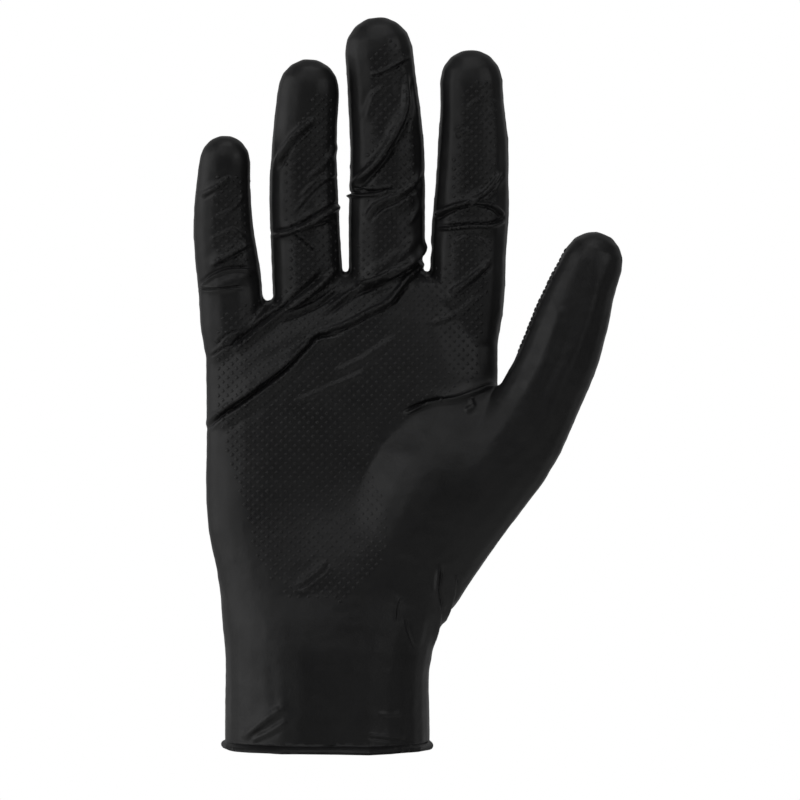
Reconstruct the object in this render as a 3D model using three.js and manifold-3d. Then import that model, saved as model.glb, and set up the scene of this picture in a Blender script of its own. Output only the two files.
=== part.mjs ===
// A disposable nitrile exam glove in the shape it keeps on a hand: one seamless dipped film with
// four finger stalls, a thumb stall, a palm and a cuff whose edge is rolled into a bead.
// Millimetres, +Z from the cuff to the fingertips, +X towards the thumb, the palm faces -Y.
// The origin is the middle of the cuff's opening, level with the bead's underside.

import * as THREE from 'three';
import { LoftGeometry } from 'three/addons/geometries/LoftGeometry.js';
import { mergeVertices } from 'three/addons/utils/BufferGeometryUtils.js';
import Module from 'manifold-3d';

// The film, and the bead that its edge is rolled into
const WALL = 1.0;
const BEAD_RADIUS = 1.4;

// The cuff, and the palm up to the highest web between two fingers
const CUFF_WIDTH = 67.4;
const CUFF_DEPTH = 50;
const PALM_DEPTH = 29;
const WEB_HEIGHT = 157.6;

// How far the webs sink towards the palm's sides, and how far the knuckles stand over to the thumb
const WEB_ARCH = 15;
const KNUCKLE_SHIFT = 8.2;

// How far the palm is tucked in below the outer fingers, and how far the fingers reach down into it
const KNUCKLE_TUCK = 2.6;
const FINGER_ROOT = 24;

// The middle finger, from the highest web to its tip, and its width and depth at that web
const FINGER_LENGTH = 82.4;
const FINGER_WIDTH = 25.8;
const FINGER_DEPTH = 21.5;

// The fingers. drop is how far a finger's web lies below the highest one, as a share of WEB_ARCH.
// long and curl, towards the palm, are shares of FINGER_LENGTH. wide at the web, slim near the tip,
// gap to the next finger, lean of the tip and bow of the middle towards the thumb are shares of
// FINGER_WIDTH. deep at the web and flat near the tip are shares of FINGER_DEPTH
const FINGERS = [
  {
    name: 'little', drop: 0.727, long: 0.657, wide: 0.829, slim: 0.643, deep: 0.86, flat: 0.674,
    gap: 0.109, lean: -0.047, bow: -0.081, curl: 0.109,
  },
  {
    name: 'ring', drop: 0.267, long: 0.881, wide: 0.919, slim: 0.775, deep: 0.953, flat: 0.767,
    gap: 0.035, lean: 0.047, bow: -0.081, curl: 0.109,
  },
  {
    name: 'middle', drop: 0.0, long: 1.0, wide: 1.0, slim: 0.868, deep: 1.0, flat: 0.814,
    gap: 0.043, lean: -0.132, bow: 0.074, curl: 0.097,
  },
  {
    name: 'index', drop: 0.0, long: 0.873, wide: 0.988, slim: 0.791, deep: 0.977, flat: 0.791,
    gap: 0.0, lean: 0.035, bow: 0.058, curl: 0.073,
  },
];

// How much of a finger's curl is reached halfway along it
const HALFWAY_CURL = 0.3;

// The thumb runs from inside the palm's edge at the wrist to its own tip
const THUMB_INSET = 37;
const THUMB_ROOT_HEIGHT = 38;
const THUMB_REACH = 149;
const THUMB_ANGLE = 28;
const THUMB_WIDTH = 24;
const THUMB_DEPTH = 22;

// The ball of the thumb: an egg-shaped mound on the palm's side, and where its middle lies on the
// thumb's frame
const BALL_LENGTH = 88;
const BALL_WIDTH = 50;
const BALL_DEPTH = 31;
const BALL_PLACE = { along: 0.3, off: -0.05, fore: 0.27 };

// Folds stand out from the film by this much, their foot is this wide, and this share of their
// length is left off at each end, where they would run out to nothing
const FOLD_HEIGHT = 1.2;
const FOLD_WIDTH = 4.2;
const FOLD_BLUNT = 0.04;

// Palm sections from the cuff's edge up. up is a share of WEB_HEIGHT. little and thumb say how far
// each side has gone from the cuff's edge to the palm's, and deep the depth from the cuff's to the
// palm's. fore and hollow are shares of PALM_DEPTH, by which the section lies towards the palm's
// side and is dished there, arch is a share of WEB_ARCH, and close narrows the depth at the webs,
// down to nothing at the last section, where the palm's front and back meet in a line
const PALM_SECTIONS = [
  { up: 0.0, little: 0.0, thumb: 0.0, deep: 0.0, fore: 0.0, hollow: 0.0, arch: 0.0, close: 1.0 },
  { up: 0.12, little: 0.0, thumb: -0.01, deep: 0.0, fore: 0.0, hollow: 0.0, arch: 0.0, close: 1.0 },
  { up: 0.2, little: 0.0, thumb: 0.04, deep: 0.08, fore: 0.02, hollow: 0.0, arch: 0.0, close: 1.0 },
  { up: 0.26, little: 0.12, thumb: 0.2, deep: 0.25, fore: 0.04, hollow: 0.02, arch: 0.0, close: 1.0 },
  { up: 0.32, little: 0.24, thumb: 0.48, deep: 0.48, fore: 0.06, hollow: 0.05, arch: 0.0, close: 1.0 },
  { up: 0.39, little: 0.56, thumb: 0.77, deep: 0.68, fore: 0.07, hollow: 0.09, arch: 0.0, close: 1.0 },
  { up: 0.46, little: 0.86, thumb: 0.94, deep: 0.82, fore: 0.07, hollow: 0.13, arch: 0.08, close: 1.0 },
  { up: 0.57, little: 1.0, thumb: 1.0, deep: 0.94, fore: 0.05, hollow: 0.16, arch: 0.2, close: 1.0 },
  { up: 0.72, little: 0.99, thumb: 1.0, deep: 1.0, fore: 0.02, hollow: 0.09, arch: 0.5, close: 1.0 },
  { up: 0.84, little: 1.0, thumb: 1.0, deep: 1.0, fore: 0.01, hollow: 0.03, arch: 0.8, close: 0.95 },
  { up: 0.92, little: 1.02, thumb: 1.0, deep: 1.0, fore: 0.0, hollow: 0.0, arch: 0.95, close: 0.82 },
  { up: 0.97, little: 1.02, thumb: 1.0, deep: 1.0, fore: 0.0, hollow: 0.0, arch: 1.0, close: 0.6 },
  { up: 0.99, little: 1.0, thumb: 0.98, deep: 1.0, fore: 0.0, hollow: 0.0, arch: 1.0, close: 0.36 },
  { up: 1.0, little: 0.98, thumb: 0.96, deep: 1.0, fore: 0.0, hollow: 0.0, arch: 1.0, close: 0.0 },
];

// Where across the knuckles the webs' arch is highest, from -1 at the little finger's side to 1
const ARCH_PEAK = 0.25;

// Finger sections: along is a share of the length from the web, and full says how much of the step
// from the size near the tip to the size at the web is left there
const FINGER_SECTIONS = [
  { along: -0.45, full: -0.6 },
  { along: -0.15, full: 0.8 },
  { along: 0.0, full: 1.0 },
  { along: 0.2, full: 0.95 },
  { along: 0.4, full: 0.76 },
  { along: 0.6, full: 0.5 },
  { along: 0.75, full: 0.16 },
  { along: 0.87, full: 0.04 },
  { along: 1.0, full: -0.1 },
];

// Thumb sections: along and off are shares of THUMB_REACH on and beside its straight line, wide is
// a share of THUMB_WIDTH, and deep and fore are shares of THUMB_DEPTH
const THUMB_SECTIONS = [
  { along: 0.0, off: 0.02, wide: 0.85, deep: 1.0, fore: 0.1 },
  { along: 0.15, off: 0.013, wide: 1.2, deep: 1.3, fore: 0.2 },
  { along: 0.32, off: 0.022, wide: 1.33, deep: 1.36, fore: 0.28 },
  { along: 0.5, off: 0.053, wide: 1.25, deep: 1.22, fore: 0.37 },
  { along: 0.64, off: 0.056, wide: 1.11, deep: 1.08, fore: 0.44 },
  { along: 0.76, off: 0.045, wide: 1.06, deep: 1.04, fore: 0.45 },
  { along: 0.84, off: 0.03, wide: 0.97, deep: 0.98, fore: 0.47 },
  { along: 0.91, off: 0.021, wide: 0.86, deep: 0.9, fore: 0.5 },
  { along: 1.0, off: 0.014, wide: 0.77, deep: 0.82, fore: 0.53 },
];

// The film's main folds on the palm's side. across and along give the two ends as shares of the
// limb they lie on: across from -1 at the little finger's side to 1, along of WEB_HEIGHT on the palm
// and of the finger's length on a finger. bow is a share of the fold's length, high of FOLD_HEIGHT
const FOLDS = [
  { on: 'palm', across: [-0.92, -0.14], along: [0.816, 0.98], bow: 0.03, high: 1.0 },
  { on: 'palm', across: [0.03, 0.42], along: [0.95, 1.01], bow: -0.05, high: 0.8 },
  { on: 'palm', across: [-0.99, -0.01], along: [0.664, 0.864], bow: 0.08, high: 1.0 },
  { on: 'palm', across: [-0.04, 0.47], along: [0.88, 1.0], bow: -0.08, high: 0.8 },
  { on: 'palm', across: [0.61, 0.94], along: [0.93, 1.0], bow: -0.05, high: 0.7 },
  { on: 'palm', across: [0.57, 0.95], along: [0.715, 0.75], bow: -0.05, high: 0.9 },
  { on: 'palm', across: [-0.37, -0.13], along: [0.335, 0.391], bow: -0.1, high: 0.7 },
  { on: 'palm', across: [0.84, 0.72], along: [0.21, 0.36], bow: 0.06, high: 0.8 },
  { on: 'palm', across: [-0.8, -0.4], along: [0.03, 0.094], bow: 0.06, high: 0.8 },
  { on: 'little', across: [-0.75, 0.86], along: [0.09, 0.18], bow: -0.06, high: 1.0 },
  { on: 'little', across: [-0.48, 0.82], along: [0.22, 0.34], bow: 0.08, high: 0.7 },
  { on: 'little', across: [-0.63, 0.3], along: [0.65, 0.74], bow: -0.1, high: 0.7 },
  { on: 'ring', across: [-0.9, 0.92], along: [0.2, 0.35], bow: -0.05, high: 1.0 },
  { on: 'ring', across: [-0.8, 0.37], along: [0.52, 0.73], bow: 0.0, high: 0.7 },
  { on: 'middle', across: [-0.9, 0.74], along: [0.32, 0.78], bow: -0.12, high: 1.0 },
  { on: 'middle', across: [-0.53, 0.95], along: [0.19, 0.34], bow: -0.06, high: 0.8 },
  { on: 'middle', across: [-0.67, 0.9], along: [-0.04, 0.14], bow: -0.06, high: 0.8 },
  { on: 'index', across: [-0.9, 0.9], along: [0.24, 0.44], bow: -0.1, high: 1.0 },
  { on: 'index', across: [-0.88, 0.92], along: [0.19, 0.2], bow: -0.03, high: 0.8 },
];

// How finely the skins are faceted, and how square their sections are, 2 being an ellipse
const PALM_SIDES = 32;
const PALM_STEPS = 19;
const WEB_STEPS = [0.975, 0.99, 1];
const FINGER_SIDES = 14;
const FINGER_STEPS = 9;
const THUMB_SIDES = 16;
const THUMB_STEPS = 14;
const BALL_SIDES = 24;
const BALL_STEPS = 14;
const CAP_ANGLES = [25, 50, 75];
const BEAD_SIDES = 8;
const FOLD_STEPS = 7;
const FOLD_SIDES = 6;
const SQUARENESS = 2.3;

// Points nearer to each other than this are one point
const SAME_POINT = 1e-4;

const X_AXIS = new THREE.Vector3(1, 0, 0);
const Y_AXIS = new THREE.Vector3(0, 1, 0);
const Z_AXIS = new THREE.Vector3(0, 0, 1);
const { lerp, degToRad } = THREE.MathUtils;

const wasm = await Module();
wasm.setup();

// A table's other columns at any value of its first one, smoothly between the rows
function columnsAt(rows) {
  const [first, ...names] = Object.keys(rows[0]);
  const places = rows.map((row) => row[first]);
  const values = rows.flatMap((row) => names.map((name) => row[name]));
  const curve = new THREE.CubicInterpolant(places, values, names.length);
  return (place) => {
    const found = curve.evaluate(place);
    return Object.fromEntries(names.map((name, i) => [name, found[i]]));
  };
}

const palmShares = columnsAt(PALM_SECTIONS);
const fingerShares = columnsAt(FINGER_SECTIONS);
const thumbShares = columnsAt(THUMB_SECTIONS);

// One closed section: a softened ellipse of that width and depth around a centre
function section(centre, across, back, width, depth, sides) {
  const soften = (x) => Math.sign(x) * Math.abs(x) ** (2 / SQUARENESS);
  return Array.from({ length: sides }, (_, i) => {
    const angle = (2 * Math.PI * i) / sides;
    return centre.clone()
      .addScaledVector(across, (width / 2) * soften(Math.cos(angle)))
      .addScaledVector(back, (depth / 2) * soften(Math.sin(angle)));
  });
}

// A three.js geometry as a solid that can be joined and cut
function solidOf(geometry) {
  const bare = new THREE.BufferGeometry();
  bare.setAttribute('position', geometry.getAttribute('position'));
  bare.setIndex(geometry.getIndex());
  const merged = mergeVertices(bare, SAME_POINT);
  return new wasm.Manifold(new wasm.Mesh({
    numProp: 3,
    vertProperties: merged.attributes.position.array,
    triVerts: new Uint32Array(merged.index.array),
  }));
}

function geometryOf(solid) {
  const mesh = solid.getMesh();
  const geometry = new THREE.BufferGeometry();
  geometry.setAttribute('position', new THREE.BufferAttribute(mesh.vertProperties, 3));
  geometry.setIndex(new THREE.BufferAttribute(mesh.triVerts, 1));
  geometry.computeVertexNormals();
  return geometry;
}

const loft = (sections, capEnd = true) => solidOf(new LoftGeometry(sections, { capStart: true, capEnd }));

// How wide the four fingers are together at their webs, and each one's middle there
const knuckleSpan = FINGERS.reduce((sum, { wide, gap }) => sum + (wide + gap) * FINGER_WIDTH, 0);
const fingerPlaces = [];
let fingerEdge = KNUCKLE_SHIFT - knuckleSpan / 2;
for (const { wide, gap } of FINGERS) {
  fingerPlaces.push(fingerEdge + (wide * FINGER_WIDTH) / 2);
  fingerEdge += (wide + gap) * FINGER_WIDTH;
}
const palmReach = knuckleSpan / 2 - KNUCKLE_TUCK;

// The palm's two sides, its depth and its shares at a share of the way up to the webs
function palmAt(up) {
  const shares = palmShares(up);
  const littleSide = lerp(-CUFF_WIDTH / 2, KNUCKLE_SHIFT - palmReach, shares.little);
  const thumbSide = lerp(CUFF_WIDTH / 2, KNUCKLE_SHIFT + palmReach, shares.thumb);
  const depth = lerp(CUFF_DEPTH, PALM_DEPTH, shares.deep) * shares.close;
  return { middle: (littleSide + thumbSide) / 2, width: thumbSide - littleSide, depth, shares };
}

// The palm and the cuff, taken in by inset on every side and let out below the edge by below
function palmSections(inset, below) {
  const peak = KNUCKLE_SHIFT + ARCH_PEAK * palmReach;
  const belowWebs = Array.from({ length: PALM_STEPS }, (_, step) => step / PALM_STEPS);
  const rings = [];
  for (const up of [...belowWebs, ...WEB_STEPS]) {
    const { middle, width, depth, shares } = palmAt(up);
    const centre = new THREE.Vector3(middle, -shares.fore * PALM_DEPTH, up * (WEB_HEIGHT - inset));
    const deep = depth > 0 ? Math.max(depth - 2 * inset, inset) : 0;
    const ring = section(centre, X_AXIS, Y_AXIS, width - 2 * inset, deep, PALM_SIDES);
    for (const point of ring) {
      const dish = Math.cos(((point.x - middle) / width) * Math.PI) ** 2;
      if (point.y < centre.y) point.y += shares.hollow * PALM_DEPTH * dish;
      point.z -= shares.arch * WEB_ARCH * ((point.x - peak) / palmReach) ** 2;
    }
    rings.push(ring);
  }
  if (below) rings.unshift(rings[0].map((point) => point.clone().setZ(-below)));
  return rings;
}

// The direction across a stall towards the thumb's side, square to its path
const acrossOf = (tangent) => X_AXIS.clone().addScaledVector(tangent, -tangent.x).normalize();

// A stall's skin along its path, taken in by inset, with a round end
function stall({ path, sizesAt, sides, steps }, inset) {
  const length = path.getLength();
  const cap = sizesAt(1).width / 2 / length;
  const shoulder = 1 - cap;
  const stations = Array.from({ length: steps + 1 }, (_, i) => (
    { place: lerp(inset / length, shoulder, i / steps), size: 1 }
  ));
  for (const angle of CAP_ANGLES.map(degToRad))
    stations.push({ place: shoulder + (cap - inset / length) * Math.sin(angle), size: Math.cos(angle) });
  return loft(stations.map(({ place, size }) => {
    const { width, depth } = sizesAt(place);
    const tangent = path.getTangentAt(place);
    const across = acrossOf(tangent);
    return section(
      path.getPointAt(place), across, tangent.cross(across),
      (width - 2 * inset) * size, (depth - 2 * inset) * size, sides,
    );
  }));
}

// A finger's path from its root inside the palm to its tip, and its sizes on the way
function fingerStall({ drop, long, wide, slim, deep, flat, lean, bow, curl }, x) {
  const web = WEB_HEIGHT - drop * WEB_ARCH;
  const length = long * FINGER_LENGTH;
  const fore = curl * FINGER_LENGTH;
  const path = new THREE.CatmullRomCurve3([
    new THREE.Vector3(x, 0, web - FINGER_ROOT),
    new THREE.Vector3(x, 0, web),
    new THREE.Vector3(x + (lean / 2 + bow) * FINGER_WIDTH, -HALFWAY_CURL * fore, web + length / 2),
    new THREE.Vector3(x + lean * FINGER_WIDTH, -fore, web + length),
  ]);
  const whole = path.getLength();
  const sizesAt = (place) => {
    const { full } = fingerShares((place * whole - FINGER_ROOT) / (whole - FINGER_ROOT));
    return { width: lerp(slim, wide, full) * FINGER_WIDTH, depth: lerp(flat, deep, full) * FINGER_DEPTH };
  };
  const placeOf = (along) => (FINGER_ROOT + along * (whole - FINGER_ROOT)) / whole;
  return { path, sizesAt, placeOf, sides: FINGER_SIDES, steps: FINGER_STEPS };
}

// The thumb's straight line, the direction beside it, and a point on that frame
const thumbTurn = degToRad(THUMB_ANGLE);
const thumbRoot = new THREE.Vector3(KNUCKLE_SHIFT + palmReach - THUMB_INSET, 0, THUMB_ROOT_HEIGHT);
const thumbLine = new THREE.Vector3(Math.sin(thumbTurn), 0, Math.cos(thumbTurn));
const thumbBeside = new THREE.Vector3(Math.cos(thumbTurn), 0, -Math.sin(thumbTurn));
const thumbPoint = ({ along, off, fore }) => thumbRoot.clone()
  .addScaledVector(thumbLine, along * THUMB_REACH)
  .addScaledVector(thumbBeside, off * THUMB_REACH)
  .addScaledVector(Y_AXIS, -fore * THUMB_DEPTH);

// The thumb's path from its root inside the palm to its tip, and its sizes on the way
function thumbStall() {
  const path = new THREE.CatmullRomCurve3(THUMB_SECTIONS.map(thumbPoint));
  const sizesAt = (place) => {
    const { wide, deep } = thumbShares(place);
    return { width: wide * THUMB_WIDTH, depth: deep * THUMB_DEPTH };
  };
  return { path, sizesAt, sides: THUMB_SIDES, steps: THUMB_STEPS };
}

// The ball of the thumb, its long axis along the thumb's line
function thumbBall(inset) {
  const placed = new THREE.Matrix4()
    .makeBasis(thumbBeside, thumbLine, Y_AXIS.clone().negate())
    .scale(new THREE.Vector3(BALL_WIDTH / 2 - inset, BALL_LENGTH / 2 - inset, BALL_DEPTH / 2 - inset))
    .setPosition(thumbPoint(BALL_PLACE));
  return solidOf(new THREE.SphereGeometry(1, BALL_SIDES, BALL_STEPS).applyMatrix4(placed));
}

const fingerStalls = FINGERS.map((finger, i) => fingerStall(finger, fingerPlaces[i]));
const stalls = [...fingerStalls, thumbStall()];

// The whole hand shape as one solid, taken in by inset
function hand(inset, below) {
  const palm = loft(palmSections(inset, below), false).add(thumbBall(inset));
  return stalls.reduce((whole, each) => whole.add(stall(each, inset)), palm);
}

// The rolled edge: a round roll that follows the cuff's own outline
function bead() {
  const [cuffEdge] = palmSections(0, 0);
  const rings = cuffEdge.map((point) => {
    const centre = point.clone().setZ(BEAD_RADIUS);
    const out = point.clone().setZ(0).normalize();
    return section(centre, out, Z_AXIS, 2 * BEAD_RADIUS, 2 * BEAD_RADIUS, BEAD_SIDES).reverse();
  });
  return solidOf(new LoftGeometry([...rings, rings[0]]));
}

// A point on a limb's own frame, seen from the palm's side
function limbPoint(on, across, along) {
  const index = FINGERS.findIndex(({ name }) => name === on);
  if (index < 0) {
    const { middle, width } = palmAt(Math.min(along, 1));
    return new THREE.Vector3(middle + (across * width) / 2, 0, along * WEB_HEIGHT);
  }
  const { path, sizesAt, placeOf } = fingerStalls[index];
  const place = placeOf(along);
  return path.getPointAt(place)
    .addScaledVector(acrossOf(path.getTangentAt(place)), (across * sizesAt(place).width) / 2);
}

// A fold: a slim tuck that lies on the skin where rays from the palm's side meet it
function fold({ on, across, along, bow, high }, skin) {
  const start = limbPoint(on, across[0], along[0]);
  const end = limbPoint(on, across[1], along[1]);
  const run = end.clone().sub(start);
  const middle = start.clone().lerp(end, 0.5).addScaledVector(run.clone().cross(Y_AXIS), bow * 2);
  const path = new THREE.QuadraticBezierCurve3(start, middle, end);
  const ray = new THREE.Raycaster();
  const rings = [];
  for (let step = 0; step <= FOLD_STEPS; step++) {
    const place = step / FOLD_STEPS;
    const from = path.getPoint(place).setY(-2 * CUFF_DEPTH);
    ray.set(from, Y_AXIS);
    const [hit] = ray.intersectObject(skin);
    const out = hit.face.normal;
    const beside = out.clone().cross(path.getTangent(place)).normalize();
    const taper = Math.sqrt(Math.sin(Math.PI * lerp(FOLD_BLUNT, 1 - FOLD_BLUNT, place)));
    rings.push(section(
      hit.point, beside, out, FOLD_WIDTH * taper, 2 * high * FOLD_HEIGHT * taper, FOLD_SIDES,
    ));
  }
  return loft(rings);
}

const outside = hand(0, 0);
const skin = new THREE.Mesh(geometryOf(outside));
const folded = FOLDS.reduce((whole, each) => whole.add(fold(each, skin)), outside);
const solid = folded.subtract(hand(WALL, WALL)).add(bead());

const film = new THREE.MeshStandardMaterial({ color: 0x1c1c1e, roughness: 0.45, metalness: 0 });
const glove = new THREE.Mesh(geometryOf(solid), film);
glove.name = 'glove';

const part = new THREE.Group();
part.add(glove);

export default part;
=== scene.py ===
"""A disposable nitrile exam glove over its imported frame: one dipped film with its folds, its rolled
edge and its raised grip. Metres, +Z to the fingertips, +X to the thumb, the palm faces -Y."""

import math
from collections import namedtuple

import bmesh
import bpy
import numpy as np
from mathutils import Euler, Matrix, Vector, noise
from mathutils.bvhtree import BVHTree


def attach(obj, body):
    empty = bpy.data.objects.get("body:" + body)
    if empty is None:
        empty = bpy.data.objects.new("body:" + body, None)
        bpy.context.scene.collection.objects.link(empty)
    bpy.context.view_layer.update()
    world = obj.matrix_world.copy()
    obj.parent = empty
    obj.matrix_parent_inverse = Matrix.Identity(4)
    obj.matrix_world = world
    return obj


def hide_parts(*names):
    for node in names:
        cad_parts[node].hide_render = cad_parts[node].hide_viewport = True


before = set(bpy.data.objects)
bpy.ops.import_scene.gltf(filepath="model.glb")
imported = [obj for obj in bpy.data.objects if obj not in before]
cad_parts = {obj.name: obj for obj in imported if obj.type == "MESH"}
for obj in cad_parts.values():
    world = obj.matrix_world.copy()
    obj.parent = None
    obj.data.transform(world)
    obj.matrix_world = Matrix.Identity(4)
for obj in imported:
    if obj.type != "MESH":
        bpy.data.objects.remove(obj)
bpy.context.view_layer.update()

MM = 0.001

# The film's mesh: the side of its even faces, how many triangles it keeps in the end, how far the
# evened form moves out again, and how deep the inner face lies
VOXEL = 0.9 * MM
FILM_TRIANGLES = 190000
REGAIN = 0.05 * MM
LINING_DEPTH = 1.5 * MM

# Points nearer together than this are one point
SAME_PLACE = 0.001 * MM

# Evening: each round draws the points in by a share and lets them swell back by a little more. The
# palm and cuff, below the fingers' roots, get more rounds than the rest
DRAW_IN = 0.5
SWELL_BACK = -0.52
EVEN_ROUNDS = 28
PALM_ROUNDS = 60
PALM_HEIGHTS = (138 * MM, 120 * MM)

# Near a fold the film's faces are halved, once within each of these numbers of the fold's widths,
# and then evened out in a few rounds
FINE_REACHES = (3.4, 1.9)
SEAM_ROUNDS = 3

# Where the film is drawn tight round the ball of the thumb: the middle's x and z and how far it
# reaches each way, in millimetres, how many rounds lift it and how many then even it out
Span = namedtuple("Span", "x z reach_x reach_z rounds evening")
BALL_SPAN = Span(28, 88, 33, 38, 520, 4)

# Soft random relief: its waves' length, its height, and how much shorter its waves are each way
Relief = namedtuple("Relief", "wave high stretch")
BROAD_RELIEF = Relief(17 * MM, 0.35 * MM, (1, 1, 1))
FINE_RELIEF = Relief(4 * MM, 0.09 * MM, (1, 1, 1.6))

# The rolled edge: where the frame's own bead ends, the roll's radius, the height at which it leaves
# the film, the angles round it, and how far it sags. Its radius and sag vary with some waves a metre
BEAD_TOP = 3.2 * MM
BEAD_RADIUS = 1.35 * MM
BEAD_SEAT = 2.2 * MM
BEAD_ANGLES = (62, 35, 8, -20, -50, -80, -110, -140, -170, -200)
BEAD_SAG = 0.7 * MM
BEAD_SAG_WAVES = 60
BEAD_RADIUS_WAVES = 130
BEAD_RADIUS_CHANGE = 0.14

# The grip: raised diamonds in rows, each row half a step on from the last. The foot and the crown
# are half widths, and each diamond's foot is sunk in the film
GRIP_STEP = 2.97 * MM
GRIP_FOOT = 1.02 * MM
GRIP_CROWN = 0.5 * MM
GRIP_HEIGHT = 0.42 * MM
GRIP_SUNK = 0.14 * MM

# How the grip varies, with some waves a metre: the edge of its field, the diamonds' places, their
# widths, and in patches their height
GRIP_EDGE = 0.9 * MM
GRIP_EDGE_WAVES = 90
GRIP_DRIFT = 0.25 * MM
GRIP_DRIFT_WAVES = 70
GRIP_WIDTH_CHANGE = 0.16
GRIP_WIDTH_WAVES = 900
GRIP_PATCH_CHANGE = 0.45
GRIP_PATCH_WAVES = 60

# Where the film is taut in the palm and stretches the grip nearly flat: the middle's x and z and how
# far it reaches each way, in millimetres, and the share of the height that is lost
Taut = namedtuple("Taut", "x z reach_x reach_z lost")
TAUT_PALM = Taut(20, 98, 34, 40, 0.88)

# Diamonds stand only where the film faces this much towards their side
GRIP_FACING = 0.35
THUMB_FACING = 0.3

# The stretches that are searched for grip: x and z on the palm's side, y and z on the thumb's pad
GRIP_CORNERS = ((-40 * MM, 48 * MM), (60 * MM, 236 * MM))
THUMB_CORNERS = ((-20 * MM, 128 * MM), (4 * MM, 166 * MM))

# The camera stands straight in front of the palm
CAMERA_LENS = 200
CAMERA_PLACE = (23.9 * MM, -1.4653, 114.4 * MM)

# The floor is lit less than the white room behind, so it gives off the rest towards the camera
FLOOR_GLOW = 0.6
FLOOR_RADIUS = 1.1
FLOOR_PLACE = (0.02, 0, -0.3)

# Colours as sRGB hex: the nitrile's darkest and palest black, and the board under it
DEEP_BLACK = "#141415"
PALE_BLACK = "#1b1b1c"
BOARD_WHITE = "#f4f4f2"

# The nitrile's roughness where it is most and least glossy
SATIN = (0.42, 0.52)

# How bright the white room is in front of the glove and behind it
ROOM_FRONT = 0.03
ROOM_BACK = 0.35

# The soft boxes: where each stands in metres, its width and height, and its power in watts
Light = namedtuple("Light", "name place size power")

LIGHTS = (
    Light("key", (-1.25, -0.4, 0.35), (1.7, 1.3), 6.6),
    Light("fill", (0.8, -0.9, 0.5), (0.5, 0.6), 1.5),
    Light("front", (-0.35, -1.35, 1.1), (0.8, 0.6), 1.8),
    Light("top", (0.1, -0.45, 1.4), (0.9, 0.6), 2.2),
)
LIGHTS_AIM = (0.02, 0, 0.11)

# A fold on the palm's side: its route as x and z in millimetres, how high it stands or how deep it
# lies, and the half-width of its crown. A ridge is even on both sides, a crease is a narrow furrow,
# and a tuck leans over a furrow on its lower side, or on its upper side where the width is negative
Fold = namedtuple("Fold", "kind high wide route")

# All folds together are this much slimmer and higher than their rows say, and each fades out over
# a share of its length at both ends
FOLD_SLIM = 0.85
FOLD_LIFT = 1.3
FOLD_FADE = 0.16

# The folds' own side of the hand ends this far behind its middle plane
FOLD_SIDE = 8 * MM

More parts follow.
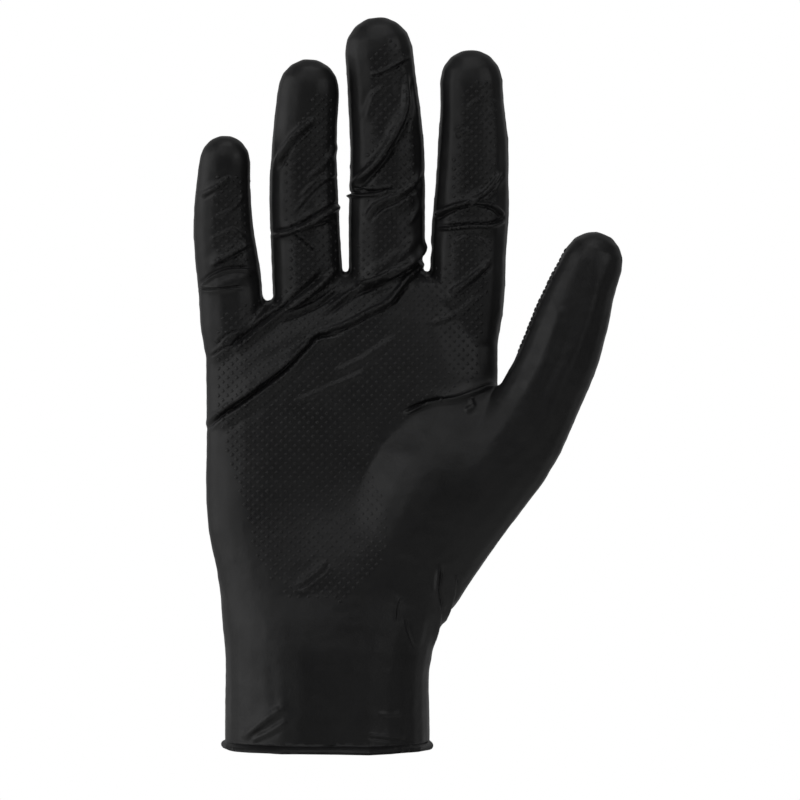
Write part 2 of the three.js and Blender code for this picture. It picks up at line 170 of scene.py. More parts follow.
FOLDS = (
    # little finger
    Fold("tuck", 0.45, 1.3, ((-41.5, 181.0), (-36.5, 183.5), (-31.0, 187.5))),
    Fold("ridge", 0.3, 0.9, ((-38.5, 166.5), (-33.5, 169.0), (-30.5, 169.8), (-26.0, 166.0))),
    Fold("tuck", 0.6, 1.3, ((-38.5, 158.0), (-31.5, 162.0), (-24.5, 166.0))),
    Fold("tuck", 0.55, -1.0, ((-42.0, 151.5), (-37.5, 155.0), (-32.0, 157.0), (-22.5, 157.0))),
    Fold("crease", 0.4, 0.6, ((-43.0, 151.0), (-36.5, 150.8), (-27.0, 151.8))),
    Fold("ridge", 0.25, 0.8, ((-37.0, 174.0), (-31.0, 177.0), (-27.0, 182.0))),
    # ring finger
    Fold("tuck", 0.85, 1.7, ((-17.5, 190.0), (-13.5, 196.5), (-9.5, 201.5), (-3.0, 206.5))),
    Fold("ridge", 0.4, 1.1, ((-7.0, 186.0), (-0.5, 192.0), (3.5, 199.0))),
    Fold("tuck", 0.4, 1.0, ((-10.5, 176.0), (-4.0, 183.5), (3.5, 189.0))),
    Fold("ridge", 0.35, 0.9, ((-9.0, 180.5), (-3.5, 186.0), (1.5, 188.5))),
    Fold("tuck", 1.05, -1.3, ((-19.5, 168.2), (-12.0, 169.8), (-5.5, 172.8), (0.0, 176.0),
                              (5.0, 179.0))),
    Fold("tuck", 0.65, 1.0, ((-10.5, 170.0), (-4.0, 172.2), (3.0, 174.5))),
    Fold("crease", 0.3, 0.6, ((-11.5, 169.0), (-7.0, 166.0), (-4.0, 162.5))),
    Fold("ridge", 0.3, 0.9, ((-6.5, 149.5), (-1.0, 152.5), (3.5, 158.5))),
    # middle finger
    Fold("tuck", 0.5, 1.0, ((14.0, 220.5), (19.0, 222.0), (27.5, 227.0))),
    Fold("tuck", 1.15, 1.9, ((26.0, 223.0), (26.3, 211.0), (23.0, 202.0), (17.5, 193.0), (12.5, 188.0),
                             (7.0, 183.5))),
    Fold("ridge", 0.4, 1.4, ((12.5, 205.0), (15.0, 213.0), (19.5, 217.5))),
    Fold("tuck", 0.8, 1.6, ((31.0, 191.0), (28.5, 185.0), (23.0, 181.0), (16.5, 178.0), (12.5, 173.0))),
    Fold("tuck", 0.85, -1.0, ((5.5, 182.0), (11.0, 181.6), (17.5, 181.8))),
    Fold("crease", 0.5, 0.7, ((8.0, 184.0), (15.5, 182.8), (23.0, 184.0))),
    Fold("ridge", 0.3, 0.9, ((28.0, 186.0), (30.0, 178.0), (26.0, 171.0))),
    Fold("tuck", 1.2, 1.9, ((33.5, 167.5), (29.5, 160.5), (22.5, 155.5), (15.5, 152.8), (9.0, 151.5))),
    Fold("tuck", 0.7, 1.2, ((33.0, 160.5), (27.5, 154.0), (23.0, 149.0), (20.5, 145.5))),
    # index finger
    Fold("ridge", 0.4, 0.9, ((42.0, 201.0), (47.0, 202.8))),
    Fold("ridge", 0.3, 0.8, ((46.0, 210.0), (50.0, 213.0))),
    Fold("tuck", 0.7, 1.2, ((47.5, 179.0), (53.0, 183.0), (57.5, 189.5))),
    Fold("tuck", 1.0, 1.2, ((35.0, 174.5), (40.5, 177.0), (47.5, 179.0))),
    Fold("tuck", 0.7, 1.0, ((47.5, 179.0), (54.0, 178.0), (58.3, 174.6))),
    Fold("tuck", 0.8, -1.0, ((35.0, 170.5), (47.0, 171.4), (54.0, 171.6), (59.0, 173.8))),
    Fold("ridge", 0.25, 0.9, ((41.0, 165.5), (47.0, 168.0), (52.0, 165.5))),
    Fold("tuck", 0.6, 1.3, ((40.0, 149.0), (46.5, 153.5), (54.0, 160.0))),
    # palm
    Fold("tuck", 1.5, -2.0, ((1.5, 156.5), (-4.0, 151.5), (-10.5, 146.5), (-19.0, 140.0), (-27.0, 133.5),
                             (-31.5, 130.0))),
    Fold("tuck", 0.7, 1.2, ((5.0, 152.0), (-2.5, 146.5), (-7.5, 144.0), (-17.0, 140.5))),
    Fold("tuck", 0.7, 1.5, ((24.5, 159.0), (19.0, 155.0), (12.5, 151.5), (6.0, 148.0), (-2.5, 141.5))),
    Fold("tuck", 0.8, 1.3, ((30.5, 159.0), (26.0, 154.0), (20.5, 146.5), (14.0, 143.0), (6.0, 139.0),
                            (-4.0, 136.0))),
    Fold("crease", 1.0, 1.1, ((6.0, 136.2), (-2.5, 135.2), (-6.0, 132.0), (-12.5, 125.3), (-19.0, 120.3),
                              (-27.0, 114.4), (-35.5, 108.8), (-41.0, 103.5))),
    Fold("ridge", 0.5, 1.6, ((-8.0, 127.0), (-16.0, 119.5), (-26.0, 112.0), (-38.0, 104.0))),
    Fold("crease", 0.3, 0.8, ((-36.5, 132.5), (-33.0, 135.8), (-28.5, 137.5))),
    Fold("crease", 0.35, 0.7, ((-38.5, 128.5), (-34.0, 131.5), (-30.0, 132.5))),
    Fold("ridge", 0.3, 1.2, ((2.0, 123.0), (12.0, 128.0), (24.0, 136.0))),
    Fold("ridge", 0.25, 1.1, ((-12.0, 113.0), (2.0, 119.0), (14.0, 124.0))),
    Fold("tuck", 0.5, 1.2, ((53.5, 159.0), (47.5, 153.0), (40.5, 148.0))),
    Fold("ridge", 0.35, 1.1, ((50.0, 149.0), (43.0, 143.0), (33.0, 139.0))),
    # the thumb's web
    Fold("tuck", 1.2, -1.1, ((56.0, 119.5), (48.5, 117.0), (42.5, 114.8), (33.0, 113.0), (24.0, 109.5))),
    Fold("ridge", 0.5, 1.0, ((46.5, 115.0), (47.5, 112.5), (45.0, 110.5))),
    # broad ridges along the thumb, where the film is drawn over it
    Fold("ridge", 0.45, 2.8, ((89.8, 162.9), (85.6, 143.1), (76.7, 121.0), (70.1, 105.5), (56.9, 90.3))),
    Fold("ridge", 0.35, 2.6, ((76.5, 146.0), (74.4, 138.5), (71.1, 127.6), (64.5, 116.7))),
    # heel, wrist and cuff
    Fold("crease", 0.35, 1.0, ((1.0, 61.5), (-2.5, 57.5), (-10.0, 52.5))),
    Fold("tuck", 0.6, 1.2, ((37.0, 61.5), (36.0, 51.8), (37.0, 43.5), (34.5, 32.0))),
    Fold("tuck", 0.5, 1.1, ((42.5, 58.0), (41.0, 48.5), (38.0, 40.0))),
    Fold("crease", 0.2, 0.6, ((25.5, 43.5), (26.6, 38.5), (28.6, 33.3))),
    Fold("crease", 0.2, 0.6, ((24.3, 50.0), (23.2, 46.5), (23.0, 42.0))),
    Fold("ridge", 0.5, 1.2, ((-27.5, 3.8), (-20.5, 10.0), (-13.5, 15.0))),
    Fold("ridge", 0.4, 1.0, ((-25.0, 3.5), (-18.5, 6.5), (-12.5, 10.5))),
    Fold("tuck", 0.3, 1.0, ((13.0, 5.8), (18.5, 4.9), (26.0, 4.2))),
    Fold("ridge", 0.14, 0.8, ((16.5, 12.6), (20.5, 12.0), (25.0, 12.4))),
)

# Broad swells and hollows of the hand's form: the middle's x and z, how far it reaches each way,
# and how high it stands, all in millimetres
Swell = namedtuple("Swell", "x z reach_x reach_z high")

SWELLS = (
    Swell(8.0, 60.0, 18.0, 12.0, 1.3),
    Swell(10.0, 86.0, 16.0, 13.0, -0.9),
    Swell(47.0, 90.0, 16.0, 22.0, 1.6),
    Swell(-22.0, 84.0, 14.0, 26.0, 0.9),
    Swell(16.0, 72.0, 12.0, 12.0, 0.7),
    Swell(24.0, 104.0, 18.0, 6.0, -0.9),
    Swell(-31.0, 139.0, 9.0, 9.0, 0.8),
    Swell(47.0, 140.0, 10.0, 12.0, -0.7),
)

# Where two fingers lie side by side: the line between them, its height bounds and how far each side
# stands off it, so that the evened mesh keeps the slit open, all in millimetres. Points within
# SLIT_REACH of the line move. Their move grows over SLIT_RISE at the foot, and fades over SLIT_FALL
Slit = namedtuple("Slit", "x low high off")

SLITS = (
    Slit(6.1, 151.0, 178.0, 0.45),
    Slit(32.4, 152.0, 169.0, 0.45),
)
SLIT_REACH = 4
SLIT_RISE = 4
SLIT_FALL = 6

# Where the grip is, on the palm's side: its left and right bounds in millimetres at some heights
Zone = namedtuple("Zone", "name rows")

GRIP_ZONES = (
    Zone("little", ((158, -37.5, -26.0), (166, -37.5, -25.5), (180, -37.0, -26.5),
                    (188, -36.0, -28.0))),
    Zone("ring", ((150, -12.5, 3.0), (165, -12.5, 4.0), (180, -14.0, 4.0), (195, -14.0, 3.5),
                  (205, -9.0, 3.0), (214, -4.0, 2.5))),
    Zone("middle", ((156, 9.0, 27.0), (170, 11.0, 28.0), (185, 13.0, 29.5), (200, 14.0, 29.5),
                    (215, 14.0, 27.0), (228, 14.0, 26.0), (232, 19.0, 23.0))),
    Zone("index", ((150, 38.5, 52.0), (165, 40.0, 54.0), (185, 40.5, 55.5), (205, 43.0, 55.5),
                   (215, 44.5, 55.0), (219, 47.0, 53.0))),
    Zone("palm", ((49, -10.0, 6.0), (57, -19.0, 15.0), (65, -23.0, 19.5), (78, -27.0, 20.0),
                  (92, -31.0, 14.0), (105, -35.0, 18.0), (113, -37.0, 36.0), (122, -36.5, 49.0),
                  (135, -36.0, 51.0), (142, -35.0, 51.5), (150, -16.0, 51.5), (158, -8.0, 51.0))),
)

# The grip on the thumb's pad, seen from the little finger's side: some heights and how far it
# reaches to each side there, in millimetres, the y of its middle, and an x before the thumb
THUMB_GRIP = ((128, 2.5), (140, 6.0), (155, 7.0), (164, 4.0))
THUMB_MIDDLE = -8.0 * MM
THUMB_GAP = 62 * MM


def smoothstep(low, high, value):
    """A share that rises softly from 0 at low to 1 at high."""
    share = np.clip((value - low) / (high - low), 0, 1)
    return share * share * (3 - 2 * share)


def points_of(mesh):
    points = np.empty(len(mesh.vertices) * 3)
    mesh.vertices.foreach_get("co", points)
    return points.reshape(-1, 3)


def normals_of(mesh):
    normals = np.empty(len(mesh.vertices) * 3)
    mesh.vertices.foreach_get("normal", normals)
    return normals.reshape(-1, 3)


def set_points(mesh, points):
    mesh.vertices.foreach_set("co", points.ravel())
    mesh.update()


def edges_of(mesh):
    """The two ends of each edge."""
    edges = np.empty(len(mesh.edges) * 2, dtype=np.int32)
    mesh.edges.foreach_get("vertices", edges)
    return edges[0::2], edges[1::2]


def neighbour_means(first, second, size):
    """A function that gives each point the mean of its neighbours along the edges first to second."""
    ends = np.concatenate([first, second])
    others = np.concatenate([second, first])
    count = np.maximum(np.bincount(ends, minlength=size), 1)[:, None]

    def mean_of(points):
        return np.stack([np.bincount(ends, points[others, k], size) for k in range(3)], 1) / count

    return mean_of


def relax(mesh, rounds, weight=None):
    """Evens the surface out: each round draws points to their neighbours and lets them swell back."""
    mean_of = neighbour_means(*edges_of(mesh), len(mesh.vertices))
    points = points_of(mesh)
    for _ in range(rounds):
        for pull in (DRAW_IN, SWELL_BACK):
            step = pull * (mean_of(points) - points)
            points += step if weight is None else step * weight[:, None]
    set_points(mesh, points)


def smooth_route(route, steps=28):
    """A smooth curve through a fold's few points, in metres."""
    places = np.array(route) * MM
    stops = np.vstack([2 * places[0] - places[1], places, 2 * places[-1] - places[-2]])
    curve = []
    for a, b, c, d in zip(stops, stops[1:], stops[2:], stops[3:]):
        for t in np.linspace(0, 1, steps // (len(places) - 1), endpoint=False):
            curve.append(0.5 * (2 * b + (c - a) * t + (2 * a - 5 * b + 4 * c - d) * t * t
                                + (3 * b - a - 3 * c + d) * t ** 3))
    curve.append(places[-1])
    return np.array(curve)


def beside(points, fold, reach):
    """Which points lie near a fold, how far from its line, on which side, and how far along it."""
    curve = smooth_route(fold.route)
    flat = points[:, [0, 2]]
    low, high = curve.min(0) - reach, curve.max(0) + reach
    near = np.flatnonzero(((flat > low) & (flat < high)).all(1) & (points[:, 1] < FOLD_SIDE))
    start, run = curve[:-1], np.diff(curve, axis=0)
    offset = flat[near][:, None] - start[None]
    share = np.clip((offset * run).sum(2) / (run * run).sum(1), 0, 1)
    gap = offset - share[..., None] * run
    far = np.sqrt((gap * gap).sum(2))
    nearest = far.argmin(1)
    rows = np.arange(len(near))
    lower = np.where(gap[rows, nearest, 1] - 0.3 * gap[rows, nearest, 0] < 0, 1.0, -1.0)
    along = (nearest + share[rows, nearest]) / len(run)
    return near, far[rows, nearest], lower, along


def crown(kind, across):
    """How high the film stands at a distance across a fold's line, in widths of the fold, as a share
    of the fold's height. A ridge and a tuck have furrows beside them, and a crease has lips."""
    if kind == "ridge":
        return np.exp(-across ** 2) - 0.3 * np.exp(-((np.abs(across) - 1.9) / 0.8) ** 2)
    if kind == "crease":
        return 0.45 * np.exp(-((np.abs(across) - 1.5) / 0.8) ** 2) - np.exp(-(across / 0.6) ** 2)
    return np.exp(-((across + 0.25) / 0.7) ** 2) - 0.75 * np.exp(-((across - 0.95) / 0.55) ** 2)


def move_out(mesh, height):
    """Moves each point along its normal."""
    set_points(mesh, points_of(mesh) + normals_of(mesh) * height[:, None])


def fold_heights(mesh):
    """How far each point stands out for all the folds together, on the palm's side only."""
    points, normals = points_of(mesh), normals_of(mesh)
    palm_side = smoothstep(-0.55, 0.1, -normals[:, 1])
    height = np.zeros(len(points))
    for fold in FOLDS:
        wide = abs(fold.wide) * FOLD_SLIM * MM
        near, far, lower, along = beside(points, fold, 4 * wide)
        across = far / wide * lower * math.copysign(1, fold.wide)
        ends = smoothstep(0, FOLD_FADE, along) * smoothstep(0, FOLD_FADE, 1 - along)
        height[near] += fold.high * FOLD_LIFT * MM * ends * crown(fold.kind, across)
    return height * palm_side


def swell_heights(mesh):
    """How far each point stands out for all the swells together, on the palm's side only."""
    points, normals = points_of(mesh), normals_of(mesh)
    palm_side = smoothstep(-0.1, 0.5, -normals[:, 1])
    height = np.zeros(len(points))
    for each in SWELLS:
        x = (points[:, 0] / MM - each.x) / each.reach_x
        z = (points[:, 2] / MM - each.z) / each.reach_z
        height += each.high * MM * np.exp(-x * x - z * z)
    return height * palm_side


def unevenness(mesh, relief):
    """How far each point stands out for a soft random relief."""
    points = points_of(mesh) / relief.wave * np.array(relief.stretch)
    return relief.high * np.array([noise.noise(Vector(p)) for p in points])


def span_hollows(mesh, span):
    """Lets the film span the hollows round the ball of the thumb, as it does where it is drawn tight:
    each round draws its points to their neighbours, but never inward."""
    points, normals = points_of(mesh), normals_of(mesh)
    x = (points[:, 0] / MM - span.x) / span.reach_x
    z = (points[:, 2] / MM - span.z) / span.reach_z
    far = x ** 2 + z ** 2
    weight = smoothstep(1.6, 0.7, far) * smoothstep(-0.2, 0.3, -normals[:, 1])
    near = np.flatnonzero(far < 2)
    row = np.full(len(points), -1)
    row[near] = np.arange(len(near))
    first, second = [row[ends] for ends in edges_of(mesh)]
    inside = (first >= 0) & (second >= 0)
    mean_of = neighbour_means(first[inside], second[inside], len(near))
    patch, out = points[near], normals[near]
    for _ in range(span.rounds):
        rise = ((mean_of(patch) - patch) * out).sum(1).clip(0) * weight[near]
        patch += out * rise[:, None]
    points[near] = patch
    set_points(mesh, points)
    relax(mesh, span.evening, weight)


def near_folds(mesh, reach):
    """How near each point lies to a fold: 1 within a number of its widths, then fading to 0 over one
    face's side."""
    points = points_of(mesh)
    share = np.zeros(len(points))
    for fold in FOLDS:
        inner = reach * abs(fold.wide) * MM
        near, far, _, _ = beside(points, fold, inner + VOXEL)
        share[near] = np.maximum(share[near], smoothstep(inner + VOXEL, inner, far))
    return share


def refine(mesh):
    """Halves the film's faces near the folds, once for each reach, and evens out the new ones."""
    for reach in FINE_REACHES:
        close = (near_folds(mesh, reach) == 1) & (normals_of(mesh)[:, 1] < 0.4)
        bm = bmesh.new()
        bm.from_mesh(mesh)
        edges = [e for e in bm.edges if close[e.verts[0].index] and close[e.verts[1].index]]
        bmesh.ops.subdivide_edges(bm, edges=edges, cuts=1, use_grid_fill=True)
        bm.to_mesh(mesh)
        bm.free()
        relax(mesh, SEAM_ROUNDS, near_folds(mesh, reach))


def shells_of(bm):
    """The mesh's faces in sets that hang together."""
    left = set(bm.faces)
    shells = []
    while left:
        shell, edge = set(), {left.pop()}
        while edge:
            shell |= edge
            edge = {f for face in edge for e in face.edges for f in e.link_faces} - shell
        left -= shell
        shells.append(shell)
    return shells


def open_slits(bm):
    """Moves the skins of neighbouring fingers a little further apart where they nearly touch."""
    for slit in SLITS:
        for v in bm.verts:
            side = v.co.x / MM - slit.x
            height = v.co.z / MM
            if abs(side) < SLIT_REACH and slit.low < height < slit.high:
                share = smoothstep(slit.low, slit.low + SLIT_RISE, height)
                share *= smoothstep(slit.high, slit.high - SLIT_FALL, height)
                v.co.x += math.copysign(slit.off * share * MM, side)


def outer_form():
    """The frame's glove without its inner wall and its bead, closed across the cuff."""
    bm = bmesh.new()
    bm.from_mesh(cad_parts["glove"].data)
    bmesh.ops.remove_doubles(bm, verts=bm.verts, dist=SAME_PLACE)
    bmesh.ops.bisect_plane(bm, geom=bm.verts[:] + bm.edges[:] + bm.faces[:], plane_co=(0, 0, BEAD_TOP),
                           plane_no=(0, 0, 1), clear_inner=True)
    outer = max(shells_of(bm), key=lambda shell: sum(face.calc_area() for face in shell))
    bmesh.ops.delete(bm, geom=[f for f in bm.faces if f not in outer], context="FACES")
    rim = [e for e in bm.edges if e.is_boundary]
    below = bmesh.ops.extrude_edge_only(bm, edges=rim)["geom"]
    for v in below:
        if isinstance(v, bmesh.types.BMVert):
            v.co.z = -2 * BEAD_TOP
    bmesh.ops.holes_fill(bm, edges=[e for e in bm.edges if e.is_boundary])
    bmesh.ops.triangulate(bm, faces=[f for f in bm.faces if len(f.verts) > 4])
    bmesh.ops.recalc_face_normals(bm, faces=bm.faces)
    open_slits(bm)
    return bm


def changed(mesh, kind, settings):
    """The mesh that one modifier makes of another."""
    form = bpy.data.objects.new("form", mesh)
    bpy.context.scene.collection.objects.link(form)
    modifier = form.modifiers.new("change", kind)
    for key, value in settings.items():
        setattr(modifier, key, value)
    depsgraph = bpy.context.evaluated_depsgraph_get()
    made = bpy.data.meshes.new_from_object(form.evaluated_get(depsgraph))
    bpy.data.objects.remove(form)
    return made


def remeshed(bm, voxel):
    """The same closed form in even square faces."""
    rough = bpy.data.meshes.new("form")
    bm.to_mesh(rough)
    bm.free()
    return changed(rough, "REMESH", {"mode": "VOXEL", "voxel_size": voxel})


def thinned(mesh, triangles):
    """The same surface in fewer triangles, large where it is even and small in the folds."""
    mesh.calc_loop_triangles()
    return changed(mesh, "DECIMATE", {"ratio": triangles / len(mesh.loop_triangles)})


def cut_open(mesh, height):
    """Takes off all that lies below a height."""
    bm = bmesh.new()
    bm.from_mesh(mesh)
    bmesh.ops.bisect_plane(bm, geom=bm.verts[:] + bm.edges[:] + bm.faces[:], dist=0.05 * MM,
                           plane_co=(0, 0, height), plane_no=(0, 0, 1), clear_inner=True)
    bmesh.ops.remove_doubles(bm, verts=[v for v in bm.verts if v.is_boundary], dist=0.3 * MM)
    return bm


def roll_edge(bm):
    """Rolls the cuff's edge outward into its bead, by extruding the open edge round a circle. A new
    point takes its seat from a neighbour that has one, so the roll goes round in uneven steps and
    some of its points fall together, which keeps its upper edge crisp."""
    loop = [e for e in bm.edges if e.is_boundary]
    seats = {}
    for v in {v for e in loop for v in e.verts}:
        out = Vector((v.normal.x, v.normal.y, 0)).normalized()
        seats[v] = (v.co.copy(), out)
    for angle in BEAD_ANGLES:
        made = bmesh.ops.extrude_edge_only(bm, edges=loop)["geom"]
        loop = [e for e in made if isinstance(e, bmesh.types.BMEdge)]
        for v in [v for v in made if isinstance(v, bmesh.types.BMVert)]:
            before = next(e.other_vert(v) for e in v.link_edges if e.other_vert(v) in seats)
            seat, out = seats[v] = seats[before]
            wave = noise.noise(seat * BEAD_SAG_WAVES)
            lump = noise.noise(seat * BEAD_RADIUS_WAVES + Vector((5, 0, 0)))
            fat = BEAD_RADIUS * (1 + BEAD_RADIUS_CHANGE * lump)
            sag = BEAD_SAG * (0.5 + smoothstep(-12 * MM, 6 * MM, seat.x) * 0.5 + 0.6 * wave)
            turn = math.radians(angle)
            v.co = seat + out * fat * math.cos(turn)
            v.co.z = BEAD_RADIUS - sag + fat * math.sin(turn)
    bmesh.ops.recalc_face_normals(bm, faces=bm.faces)


def show(mesh, name, material):
    """A piece of the glove from its finished mesh."""
    piece = bpy.data.objects.new(name, mesh)
    bpy.context.scene.collection.objects.link(piece)
    mesh.materials.clear()
    mesh.materials.append(material)
    mesh.shade_smooth()
    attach(piece, "root")
    return piece


def make_film(form, material):
    """The film as it shows: outer skin, folds and rolled edge."""
    mesh = form.copy()
    refine(mesh)
    move_out(mesh, swell_heights(mesh) + unevenness(mesh, BROAD_RELIEF))
    move_out(mesh, fold_heights(mesh))
    move_out(mesh, unevenness(mesh, FINE_RELIEF))
    bm = cut_open(mesh, BEAD_SEAT)
    bm.normal_update()
    roll_edge(bm)
    bm.to_mesh(mesh)
    bm.free()
    film = show(thinned(mesh, FILM_TRIANGLES), "film", material)
    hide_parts("glove")
    return film


def make_lining(form, material):
    """The film's inner face, which shows through the cuff."""
    mesh = form.copy()
    move_out(mesh, np.full(len(mesh.vertices), -LINING_DEPTH))
    bm = cut_open(mesh, BEAD_RADIUS)
    bmesh.ops.reverse_faces(bm, faces=bm.faces)
    bm.to_mesh(mesh)
    bm.free()
    return show(mesh, "inner_face", material)


def in_zone(x, z):
    """Whether a place on the palm's side has grip."""
    for zone in GRIP_ZONES:
        heights, left, right = zip(*zone.rows)
        if heights[0] <= z / MM <= heights[-1]:
            if np.interp(z / MM, heights, left) <= x / MM <= np.interp(z / MM, heights, right):
                return True
    return False


def grip_rows(low, high):
    """Places in rows half a step apart, each row half a step on from the last, over a rectangle."""
    half = GRIP_STEP / 2
    for row in range(math.floor(low[1] / half), math.ceil(high[1] / half)):
        for column in range(math.floor(low[0] / GRIP_STEP), math.ceil(high[0] / GRIP_STEP)):
            yield (column + 0.5 * (row % 2)) * GRIP_STEP, row * half


def grip_share(x, z):
    """How much of the grip's height shows: least in the middle of the palm, where the film is taut."""
    across = (x / MM - TAUT_PALM.x) / TAUT_PALM.reach_x
    up = (z / MM - TAUT_PALM.z) / TAUT_PALM.reach_z
    taut = math.exp(-across ** 2 - up ** 2)
    patchy = 0.8 + GRIP_PATCH_CHANGE * noise.noise(Vector((x, z, 11)) * GRIP_PATCH_WAVES)
    return min(1, (1 - TAUT_PALM.lost * taut) * patchy)


def add_diamond(bm, place, out, up, share):
    """One raised diamond: a flat four-sided crown whose foot is sunk in the film, more of it where it
    shows only a share of its height."""
    across = up.cross(out).normalized()
    up = out.cross(across)
    turn = Matrix((across, up, out)).transposed().to_4x4()
    size = 1 + GRIP_WIDTH_CHANGE * noise.noise(place * GRIP_WIDTH_WAVES)
    stretch = Matrix.Diagonal((size, size, 1, 1))
    shown = (GRIP_HEIGHT - GRIP_SUNK) * share
    seat = Matrix.Translation(place + out * (shown - GRIP_HEIGHT / 2))
    bmesh.ops.create_cone(bm, cap_ends=True, segments=4, radius1=GRIP_FOOT, radius2=GRIP_CROWN,
                          depth=GRIP_HEIGHT, matrix=seat @ turn @ stretch)


def add_broad_grip(bm, skin, facing):
    """The diamonds of the palm and fingers on one side, where that side of the film faces enough."""
    for x, z in grip_rows(*GRIP_CORNERS):
        wander = GRIP_EDGE * noise.noise(Vector((x, z, facing)) * GRIP_EDGE_WAVES)
        if not in_zone(x + wander, z + wander):
            continue
        drift = Vector((GRIP_DRIFT * noise.noise(Vector((x, z, 3)) * GRIP_DRIFT_WAVES), 0,
                        GRIP_DRIFT * noise.noise(Vector((x, z, 7)) * GRIP_DRIFT_WAVES)))
        start = Vector((x, facing * 0.2, z)) + drift
        place, out, _, _ = skin.ray_cast(start, Vector((0, -facing, 0)))
        if place is not None and out.y * facing > GRIP_FACING:
            add_diamond(bm, place, out, Vector((0, 0, 1)), grip_share(x, z))


def add_thumb_grip(bm, skin):
    """The diamonds of the thumb's pad, found from the gap between thumb and palm."""
    heights, reach = zip(*THUMB_GRIP)
    for y, z in grip_rows(*THUMB_CORNERS):
        if abs(y - THUMB_MIDDLE) > np.interp(z / MM, heights, reach) * MM:
            continue
        if not heights[0] <= z / MM <= heights[-1]:
            continue
        place, out, _, _ = skin.ray_cast(Vector((THUMB_GAP, y, z)), Vector((1, 0, 0)))
        if place is not None and place.x > THUMB_GAP + 0.5 * MM and -out.x > THUMB_FACING:
            add_diamond(bm, place, out, Vector((0, 0, 1)), 1)


def make_grip(name, film, facing, material):
    """The raised grip on the palm's side (facing -1), with the thumb's, or on the back (facing 1)."""
    skin = BVHTree.FromObject(film, bpy.context.evaluated_depsgraph_get())
    bm = bmesh.new()
    add_broad_grip(bm, skin, facing)
    if facing < 0:
        add_thumb_grip(bm, skin)
    mesh = bpy.data.meshes.new(name)
    bm.to_mesh(mesh)
    bm.free()
    return show(mesh, name, material)


def linear(colour):
    """An sRGB hex colour as linear red, green and blue."""
    parts = [int(colour[i:i + 2], 16) / 255 for i in (1, 3, 5)]
    return [c / 12.92 if c <= 0.04045 else ((c + 0.055) / 1.055) ** 2.4 for c in parts] + [1]


def add_node(tree, kind, settings=None, **inputs):
    """A node with its settings. An input is named, or numbered as in _0, and is a value or another
    node's output to link from."""
    node = tree.nodes.new(kind)
    for name, value in (settings or {}).items():
        setattr(node, name, value)
    for name, value in inputs.items():
        key = int(name[1:]) if name[1:].isdigit() else name.replace("_", " ")
        socket = node.inputs[key]
        if isinstance(value, bpy.types.NodeSocket):
            tree.links.new(value, socket)
        else:
            socket.default_value = value
    return node


def noise_of(tree, place, wave, detail, roughness):
    """A random pattern with waves of about one length."""
    pattern = add_node(tree, "ShaderNodeTexNoise", Vector=place, Scale=1 / wave, Detail=detail,
                       Roughness=roughness)
    return pattern.outputs["Fac"]


def nitrile_film():
    """Nitrile rubber, dipped and chlorinated: black all through, with a satin skin that is a little
    glossier in places, a very fine grain left by the former, and the unevenness of a thin film."""
    material = bpy.data.materials.new("dipped_nitrile")
    material.use_nodes = True
    tree = material.node_tree
    tree.nodes.clear()
    place = add_node(tree, "ShaderNodeTexCoord").outputs["Object"]
    cloud = noise_of(tree, place, 22 * MM, 3.0, 0.55)
    shade = add_node(tree, "ShaderNodeValToRGB", Fac=cloud)
    for stop, at, colour in zip(shade.color_ramp.elements, (0.3, 0.7), (DEEP_BLACK, PALE_BLACK)):
        stop.position = at
        stop.color = linear(colour)
    sheen = noise_of(tree, place, 9 * MM, 4.0, 0.6)
    satin = add_node(tree, "ShaderNodeMapRange", Value=sheen, From_Min=0.3, From_Max=0.7,
                     To_Min=SATIN[0], To_Max=SATIN[1])
    grain = noise_of(tree, place, 0.55 * MM, 2.0, 0.6)
    fine = add_node(tree, "ShaderNodeBump", Height=grain, Strength=0.10, Distance=0.10 * MM)
    creep = noise_of(tree, place, 3.2 * MM, 5.0, 0.62)
    broad = add_node(tree, "ShaderNodeBump", Height=creep, Normal=fine.outputs["Normal"],
                     Strength=0.35, Distance=0.35 * MM)
    rubber = add_node(tree, "ShaderNodeBsdfPrincipled", Base_Color=shade.outputs["Color"],
                      Roughness=satin.outputs["Result"], Normal=broad.outputs["Normal"], IOR=1.5)
    add_node(tree, "ShaderNodeOutputMaterial", Surface=rubber.outputs["BSDF"])
    return material


def plain_floor():
    """A round board, matt white, that carries nothing: the glove is held up above it."""
    material = bpy.data.materials.new("white_board")
    material.use_nodes = True
    tree = material.node_tree
    board = tree.nodes["Principled BSDF"]
    board.inputs["Base Color"].default_value = linear(BOARD_WHITE)
    board.inputs["Roughness"].default_value = 0.8
    board.inputs["Emission Color"].default_value = linear(BOARD_WHITE)
    seen = add_node(tree, "ShaderNodeLightPath").outputs["Is Camera Ray"]
    glow = add_node(tree, "ShaderNodeMath", {"operation": "MULTIPLY"}, _0=seen, _1=FLOOR_GLOW)
    tree.links.new(glow.outputs[0], board.inputs["Emission Strength"])
    bm = bmesh.new()
    bmesh.ops.create_circle(bm, cap_ends=True, segments=64, radius=FLOOR_RADIUS,
                            matrix=Matrix.Translation(FLOOR_PLACE))
    mesh = bpy.data.meshes.new("floor")
    bm.to_mesh(mesh)
    bm.free()
    floor = bpy.data.objects.new("floor", mesh)
    bpy.context.scene.collection.objects.link(floor)
    mesh.materials.append(material)


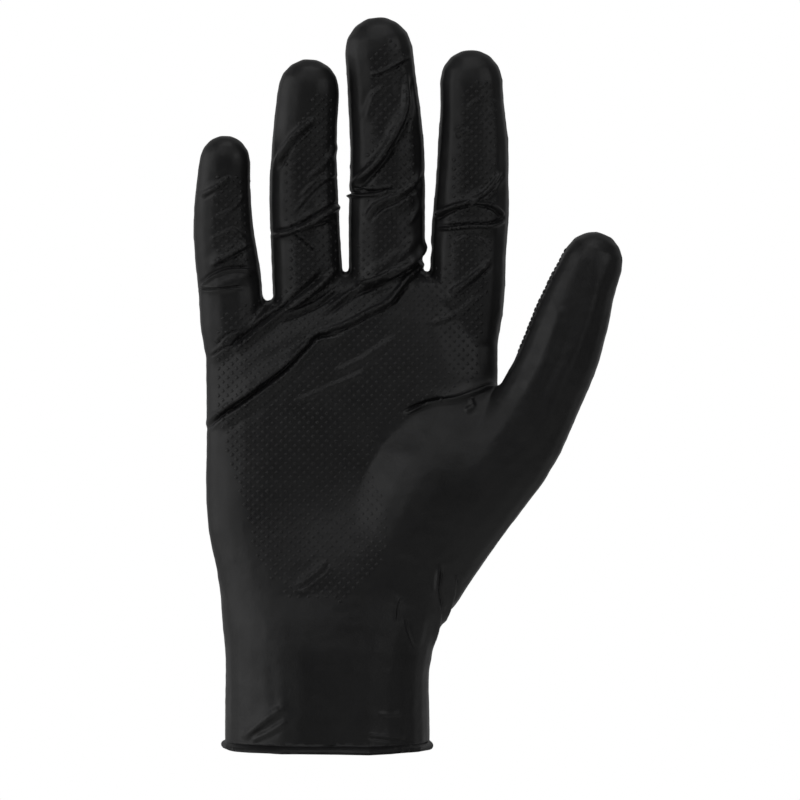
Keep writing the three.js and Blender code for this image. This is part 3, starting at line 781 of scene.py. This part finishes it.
def soft_box(light):
    """One soft box, turned to the glove's middle."""
    lamp = bpy.data.lights.new(light.name, "AREA")
    lamp.shape = "RECTANGLE"
    lamp.size, lamp.size_y = light.size
    lamp.energy = light.power
    box = bpy.data.objects.new(light.name, lamp)
    box.location = light.place
    way = Vector(LIGHTS_AIM) - Vector(light.place)
    box.rotation_euler = way.to_track_quat("-Z", "Y").to_euler()
    bpy.context.scene.collection.objects.link(box)


def studio():
    """A white room behind the glove, dim in front of it, with soft boxes round it."""
    world = bpy.data.worlds.new("studio")
    bpy.context.scene.world = world
    world.use_nodes = True
    tree = world.node_tree
    tree.nodes.clear()
    way = add_node(tree, "ShaderNodeTexCoord").outputs["Generated"]
    parts = add_node(tree, "ShaderNodeSeparateXYZ", Vector=way)
    depth = add_node(tree, "ShaderNodeMapRange", Value=parts.outputs["Y"], From_Min=-0.1,
                     From_Max=0.7, To_Min=ROOM_FRONT, To_Max=ROOM_BACK)
    seen = add_node(tree, "ShaderNodeLightPath").outputs["Is Camera Ray"]
    strength = add_node(tree, "ShaderNodeMix", {"data_type": "FLOAT"}, _0=seen,
                        _2=depth.outputs["Result"], _3=1.0)
    white = add_node(tree, "ShaderNodeBackground", Color=(1, 1, 1, 1), Strength=strength.outputs[0])
    add_node(tree, "ShaderNodeOutputWorld", Surface=white.outputs["Background"])
    for light in LIGHTS:
        soft_box(light)


def camera():
    """A long lens at the height of the palm's middle."""
    data = bpy.data.cameras.new("camera")
    data.lens = CAMERA_LENS
    data.clip_end = 20
    eye = bpy.data.objects.new("camera", data)
    eye.location = CAMERA_PLACE
    eye.rotation_euler = Euler((math.pi / 2, 0, 0))
    bpy.context.scene.collection.objects.link(eye)
    bpy.context.scene.camera = eye


bpy.context.scene.view_settings.view_transform = "Standard"
nitrile = nitrile_film()
form = remeshed(outer_form(), VOXEL)
relax(form, EVEN_ROUNDS)
relax(form, PALM_ROUNDS, smoothstep(*PALM_HEIGHTS, points_of(form)[:, 2]))
span_hollows(form, BALL_SPAN)
move_out(form, np.full(len(form.vertices), REGAIN))
film = make_film(form, nitrile)
make_lining(form, nitrile)
make_grip("grip_palm", film, -1, nitrile)
make_grip("grip_back", film, 1, nitrile)
plain_floor()
studio()
camera()
